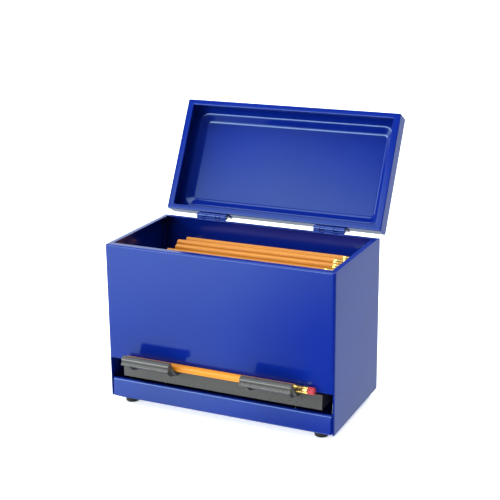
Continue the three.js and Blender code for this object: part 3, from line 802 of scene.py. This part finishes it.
def build_rocker():
    """Trough with two hooked, ribbed fingers and two cheeks that turn on the axle: one moulding."""
    bm = bmesh.new()
    outline_bar(bm, FLOOR_AND_FACE, -ROCKER_HALF, ROCKER_HALF)
    bmesh.ops.recalc_face_normals(bm, faces=bm.faces)
    round_edges(bm, edges_where(bm, lambda v: near(v.y, 4.5) and near(v.z, 35.9)), 1.0, 4)
    piece = make_piece("rocker_moulding", bm, [GREY], "rocker", ["rocker"])
    tools = []
    for x0, x1 in FINGERS:
        tools.append(bar_object(FINGER_SKIN, x0, x1, SKIN_ROUNDS))
        tools.append(bar_object(FINGER_RIB, x0 + RIB_INSET, x0 + RIB_INSET + RIB_T, RIB_ROUNDS))
        tools.append(bar_object(FINGER_RIB, x1 - RIB_INSET - RIB_T, x1 - RIB_INSET, RIB_ROUNDS))
    for _, side in SIDES:
        inner, outer = sorted((side * (ROCKER_HALF - SKIN), side * (ROCKER_HALF - 0.05)))
        tools.append(bar_object(CHEEK, inner, outer))
    combine(piece, tools, "UNION")
    bore = bmesh.new()
    matrix = Matrix.Translation((0, PIVOT_Y, PIVOT_Z)) @ Matrix.Rotation(math.pi / 2, 4, "Y")
    bmesh.ops.create_cone(
        bore, cap_ends=True, segments=32, radius1=BORE_R, radius2=BORE_R, depth=240, matrix=matrix,
    )
    combine(piece, [tool_object(bore)], "DIFFERENCE")
    soften(piece, 0.3, 2, 35)


# ---------------------------------------------------------------- springs


def build_springs():
    """Torsion springs as round wire, along the same route as their solids."""
    for name, side in SIDES:
        points = list(SPRING_ARM)
        for i in range(int(SPRING_STEPS * SPRING_TURNS) + 1):
            turns = i / SPRING_STEPS
            angle = math.pi / 2 - turns * 2 * math.pi
            y = PIVOT_Y + SPRING_R * math.cos(angle)
            z = PIVOT_Z + SPRING_R * math.sin(angle)
            points.append((turns * SPRING_PITCH, y, z))
        end = points[-1][0]
        points += [(end, y, z) for y, z in SPRING_LEG]
        curve = bpy.data.curves.new(f"return_spring_{name}_wire", "CURVE")
        curve.dimensions = "3D"
        curve.bevel_depth = SPRING_WIRE_R * MM
        curve.bevel_resolution = 3
        curve.use_fill_caps = True
        line = curve.splines.new("POLY")
        line.points.add(len(points) - 1)
        for point, (x, y, z) in zip(line.points, points):
            point.co = (*row_point(side * (SPRING_X + x), y, z), 1)
        curve.materials.append(ZINC)
        spring = bpy.data.objects.new(curve.name, curve)
        bpy.context.scene.collection.objects.link(spring)
        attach(spring, "body")
        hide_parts(f"return_spring_{name}")


# ---------------------------------------------------------------- pencils


def hex_points(radius):
    """A hexagon with a corner on top."""
    angles = [math.pi / 6 + i * math.pi / 3 for i in range(6)]
    return [(radius * math.cos(a), radius * math.sin(a)) for a in angles]


def barrel_mesh(length):
    """One hexagonal barrel along x from the origin, corners rounded, its cut end cedar with a lead."""
    bm = bmesh.new()
    outline_bar(bm, hex_points(PENCIL_FLATS / math.sqrt(3)), 0, length)
    bmesh.ops.recalc_face_normals(bm, faces=bm.faces)
    long_edges = [e for e in bm.edges if e.calc_length() > length / 2]
    round_edges(bm, long_edges, PENCIL_CORNER, 2)
    cut_end = min(bm.faces, key=lambda f: f.calc_center_median().x)
    bmesh.ops.inset_region(bm, faces=[cut_end], thickness=0.18)
    ring = bmesh.ops.inset_region(bm, faces=[cut_end], thickness=2.2)["faces"]
    for face in ring:
        face.material_index = 1
    cut_end.material_index = 2
    return finish_part(bm)


def finish_part(bm):
    mesh = bpy.data.meshes.new("pencil_part")
    bm.to_mesh(mesh)
    bm.free()
    return mesh


def add_copy(bm, mesh, matrix, lot_and_shade=None):
    """Adds a copy of a mesh, moved by the matrix; its vertices carry the lot value, which dims the
    lacquer: random tone plus painted shade.
    """
    bm.verts.ensure_lookup_table()
    count = len(bm.verts)
    bm.from_mesh(mesh)
    bm.verts.ensure_lookup_table()
    added = bm.verts[count:]
    bmesh.ops.transform(bm, matrix=matrix, verts=added)
    if lot_and_shade is not None:
        layer = bm.verts.layers.float["lot_and_shade"]
        for vert in added:
            vert[layer] = lot_and_shade


def ferrule_profile(length):
    """Radius along a ferrule: swaged mouth, two gold collars, and the ribbed dark band between them."""
    r = FERRULE_R
    points = [
        (r - 0.42, 0.0), (r - 0.1, 0.0), (r + 0.02, 0.35), (r, 0.8),
        (r, BAND_START), (r - 0.22, BAND_START + 0.3),
    ]
    for i in range(BAND_RIBS):
        middle = BAND_START + 0.9 + i * BAND_RIB_PITCH
        points += [(r - 0.25, middle - 0.35), (r - 0.02, middle), (r - 0.25, middle + 0.35)]
    points += [
        (r - 0.22, BAND_END - 0.3), (r, BAND_END), (r, length - 0.8), (r + 0.05, length - 0.4),
        (r - 0.12, length), (r - 0.5, length),
    ]
    return points


def profile_on_x(bm, points, steps):
    """Spins (radius, distance) points about the x axis."""
    first = [bm.verts.new((along, r, 0)) for r, along in points]
    edges = [bm.edges.new(pair) for pair in zip(first, first[1:])]
    bmesh.ops.spin(
        bm, geom=first + edges, cent=(0, 0, 0), axis=(1, 0, 0), angle=2 * math.pi,
        steps=steps, use_merge=True, use_duplicate=False,
    )
    bmesh.ops.remove_doubles(bm, verts=bm.verts, dist=1e-4)
    bmesh.ops.recalc_face_normals(bm, faces=bm.faces)


def ferrule_mesh(length):
    """A ferrule from the origin along x, its crimped middle in the band material."""
    bm = bmesh.new()
    profile_on_x(bm, ferrule_profile(length), 28)
    for face in bm.faces:
        middle = face.calc_center_median()
        in_band = BAND_START + 0.2 < middle.x < BAND_END - 0.4
        if in_band and math.hypot(middle.y, middle.z) < FERRULE_R - 0.17:
            face.material_index = 1
    return finish_part(bm)


def eraser_mesh(length):
    """An eraser plug standing out of its ferrule by the given length, its corner worn round."""
    bm = bmesh.new()
    r = FERRULE_R - 0.35
    worn = [i * math.pi / 8 for i in range(5)]
    corner = [(r - 0.9 + 0.9 * math.cos(a), length - 0.9 + 0.9 * math.sin(a)) for a in worn]
    profile_on_x(bm, [(0, -5.0), (r, -5.0), *corner, (0, length)], 24)
    return finish_part(bm)


def pencil_make(barrel_l, ferrule_l, eraser_l):
    """The lengths and meshes of one make of pencil."""
    parts = barrel_mesh(barrel_l), ferrule_mesh(ferrule_l), eraser_mesh(eraser_l)
    return barrel_l, ferrule_l, parts


def build_pencils(prefix, make, places, body, barrel_nodes, ferrule_nodes=(), eraser_nodes=()):
    """A set of whole pencils: places are (start, y, z, turn, lot), the lot value dimming the lacquer for
    random tone and painted shade.
    """
    barrel_l, ferrule_l, (barrel, ferrule, eraser) = make
    barrels, ferrules, erasers = bmesh.new(), bmesh.new(), bmesh.new()
    barrels.verts.layers.float.new("lot_and_shade")
    for start, y, z, turn, lot_and_shade in places:
        place = Matrix.Translation((start, y, z)) @ Matrix.Rotation(turn, 4, "X")
        tail = place @ Matrix.Translation((barrel_l - TUCK, 0, 0))
        add_copy(barrels, barrel, place, lot_and_shade)
        add_copy(ferrules, ferrule, tail)
        add_copy(erasers, eraser, tail @ Matrix.Translation((ferrule_l, 0, 0)))
    wood = [LACQUER, CEDAR, GRAPHITE]
    make_piece(f"{prefix}_barrels", barrels, wood, body, barrel_nodes, close=False)
    gilt = [BRASS, BAND]
    make_piece(f"{prefix}_ferrules", ferrules, gilt, body, ferrule_nodes, close=False)
    make_piece(f"{prefix}_erasers", erasers, [ERASER], body, eraser_nodes, close=False)


def row_places(row, dice):
    """Centres of one sloping row of the load, a little shuffled end to end."""
    height = ROW_BOTTOM + row * ROW_PITCH
    rise = math.tan(ROW_TILT)
    step_y, step_z = PILE_PITCH * math.cos(ROW_TILT), PILE_PITCH * math.sin(ROW_TILT)
    clearance = PENCIL_FLATS / 2 + RAMP_CLEARANCE
    over_ramp = height - clearance - RAMP_FRONT_Z + RAMP_FRONT * RAMP_SLOPE - PILE_FRONT * rise
    last = min(PILE_BACK, over_ramp / (RAMP_SLOPE - rise))
    count = int((last - PILE_FRONT) / step_y) + 1
    places = []
    for i in range(count):
        y = PILE_FRONT + i * step_y
        z = height + i * step_z
        start, lift = PILE_LEFT + dice.uniform(-SHUFFLE, SHUFFLE), 0
        roll = ROW_TILT + dice.uniform(-ROLL, ROLL)
        if row == ROW_COUNT - 1:
            start, lift = TOP_ROW.get(i, (start, lift))
            roll = ROW_TILT + dice.uniform(-TOP_ROLL, TOP_ROLL)
        # Load pencils take lot values low in the range: random tone between lots, plus painted shade in
        # the hopper.
        places.append((start, y, z + lift, roll, LOT_AND_SHADE_SPREAD * dice.random()))
    return places


def build_load():
    """Ten rows of whole pencils in the hopper."""
    dice = random.Random(7)
    make = pencil_make(*LOAD_LENGTHS)
    for row in range(ROW_COUNT):
        name = f"pencil_row_{row + 1:02d}"
        build_pencils(f"load_{row + 1:02d}", make, row_places(row, dice), "body", [name])


def build_presented_pencil():
    """The one whole pencil in the fingers, its slide starting at rest."""
    # The presented pencil takes the top lot value: painted light, brighter than the shaded load.
    place = (PENCIL_START, PENCIL_Y, PENCIL_Z, 0.0, 1.0)
    build_pencils(
        "presented", pencil_make(*PRESENTED_LENGTHS), [place], "presented_pencil",
        ["pencil_barrel", "pencil_lead"], ["pencil_ferrule"], ["pencil_eraser"],
    )


# ---------------------------------------------------------------- carried-over solids


def coat_cad_nodes():
    """Finishes for the solids that are shown as they are."""
    finishes = {"hopper_ramp": BLUE, "rocker_axle": ZINC}
    for name, _ in SIDES:
        finishes[f"pivot_bracket_{name}"] = ZINC
        finishes[f"axle_clip_{name}"] = ZINC
    for node, finish in finishes.items():
        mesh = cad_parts[node].data
        mesh.materials.clear()
        mesh.materials.append(finish)


# ---------------------------------------------------------------- studio


def build_studio():
    """Pale paper floor, two soft lamps and the surroundings that the gloss mirrors."""
    scene = bpy.context.scene
    bm = bmesh.new()
    bmesh.ops.create_grid(bm, x_segments=1, y_segments=1, size=20)
    mesh = bpy.data.meshes.new("studio_floor")
    bm.to_mesh(mesh)
    bm.free()
    floor_material, tree, shader = new_material("floor_paper")
    mottle = noise(tree, object_coordinates(tree), 3, 3)
    paper = ramp(tree, mottle, [(0.3, (0.93, 0.93, 0.93)), (0.7, (0.95, 0.95, 0.95))])
    tree.links.new(paper, shader.inputs["Base Color"])
    shader.inputs["Roughness"].default_value = 0.9
    shader.inputs["Emission Color"].default_value = (1, 1, 1, 1)
    shader.inputs["Emission Strength"].default_value = PAPER_GLOW
    mesh.materials.append(floor_material)
    floor = bpy.data.objects.new("studio_floor", mesh)
    floor.visible_glossy = False
    scene.collection.objects.link(floor)

    scene.world = studio_world()
    scene.view_settings.view_transform = "Standard"
    for name, place, target, size, power in LAMPS:
        light = bpy.data.lights.new(name, "AREA")
        light.size = size
        light.energy = power
        lamp = bpy.data.objects.new(name, light)
        lamp.location = place
        lamp.rotation_mode = "QUATERNION"
        lamp.rotation_quaternion = (Vector(target) - Vector(place)).to_track_quat("-Z", "Y")
        lamp.visible_glossy = False
        scene.collection.objects.link(lamp)


def studio_world():
    """White surroundings behind, soft panels in front on the left, and a dim room on the right."""
    world = bpy.data.worlds.new("studio")
    world.use_nodes = True
    tree = world.node_tree
    direction = tree.nodes.new("ShaderNodeTexCoord").outputs["Generated"]

    def along(axis, start, end):
        """Nought where the direction's part along the axis is at start, one where it is at end."""
        dot = tree.nodes.new("ShaderNodeVectorMath")
        dot.operation = "DOT_PRODUCT"
        dot.inputs[1].default_value = axis
        tree.links.new(direction, dot.inputs[0])
        node = tree.nodes.new("ShaderNodeMapRange")
        node.inputs["From Min"].default_value = start
        node.inputs["From Max"].default_value = end
        tree.links.new(dot.outputs["Value"], node.inputs["Value"])
        return node.outputs["Result"]

    def blend(operation, first, second):
        node = tree.nodes.new("ShaderNodeMath")
        node.operation = operation
        for socket, value in zip(node.inputs, (first, second)):
            if isinstance(value, float):
                socket.default_value = value
            else:
                tree.links.new(value, socket)
        return node.outputs["Value"]

    def panel(strength, *edges):
        """A soft-edged patch of light, bounded by (axis, start, end) fades."""
        level = strength
        for axis, start, end in edges:
            level = blend("MULTIPLY", level, along(axis, start, end))
        return level

    up, back, left = (0, 0, 1), (0, 1, 0), (-1, 0, 0)
    corner = (-0.7, 0, 0.7)
    front = (back, -0.1, -0.4)
    low = (up, 0.1, 0.0)
    panels = (
        panel(0.7, (back, 0.0, 0.3)),
        panel(0.5, (back, 0.0, 0.3), (up, -0.02, 0.02)),
        panel(1.6, front, low, (left, 0.345, 0.42), (up, -0.47, -0.425)),
        panel(1.35, front, low, (left, 0.16, 0.29), (up, -0.345, -0.3)),
        panel(
            3.0, front, (left, 0.15, 0.33), (corner, 0.74, 0.7), (up, 0.0, 0.1), (up, 0.65, 0.6),
        ),
        panel(9.0, front, (left, 0.1, 0.3), (up, 0.0, 0.1), (up, 0.48, 0.36)),
        panel(5.0, front, (up, -0.66, -0.78)),
        panel(3.0, (up, 0.78, 0.9)),
        panel(0.6, (left, 0.6, 0.9)),
    )
    total = 0.1
    for level in panels:
        total = blend("ADD", total, level)
    tree.links.new(total, tree.nodes["Background"].inputs["Strength"])
    tree.nodes["Background"].inputs["Color"].default_value = (0.88, 0.98, 1, 1)
    return world


def build_camera():
    """Front right, a little above, as long a lens as makes the near corner only slightly larger."""
    azimuth = math.radians(CAMERA_AZIMUTH)
    elevation = math.radians(CAMERA_ELEVATION)
    roll = math.radians(CAMERA_ROLL)
    forward = Vector((
        -math.sin(azimuth) * math.cos(elevation),
        math.cos(azimuth) * math.cos(elevation),
        -math.sin(elevation),
    ))
    level = forward.cross(Vector((0, 0, 1))).normalized()
    above = level.cross(forward)
    right = math.cos(roll) * level + math.sin(roll) * above
    up = -math.sin(roll) * level + math.cos(roll) * above
    data = bpy.data.cameras.new("camera")
    data.sensor_width = SENSOR
    data.lens = LENS
    camera = bpy.data.objects.new("camera", data)
    turn = Matrix((right, up, -forward)).transposed().to_4x4()
    camera.matrix_world = Matrix.Translation(row_point(*CAMERA_PLACE)) @ turn
    bpy.context.scene.collection.objects.link(camera)
    bpy.context.scene.camera = camera


build_camera()
build_shell()
build_back_panel()
build_base_pan()
build_lid()
build_hinges()
build_feet()
build_rocker()
build_springs()
build_presented_pencil()
build_load()
coat_cad_nodes()
build_studio()
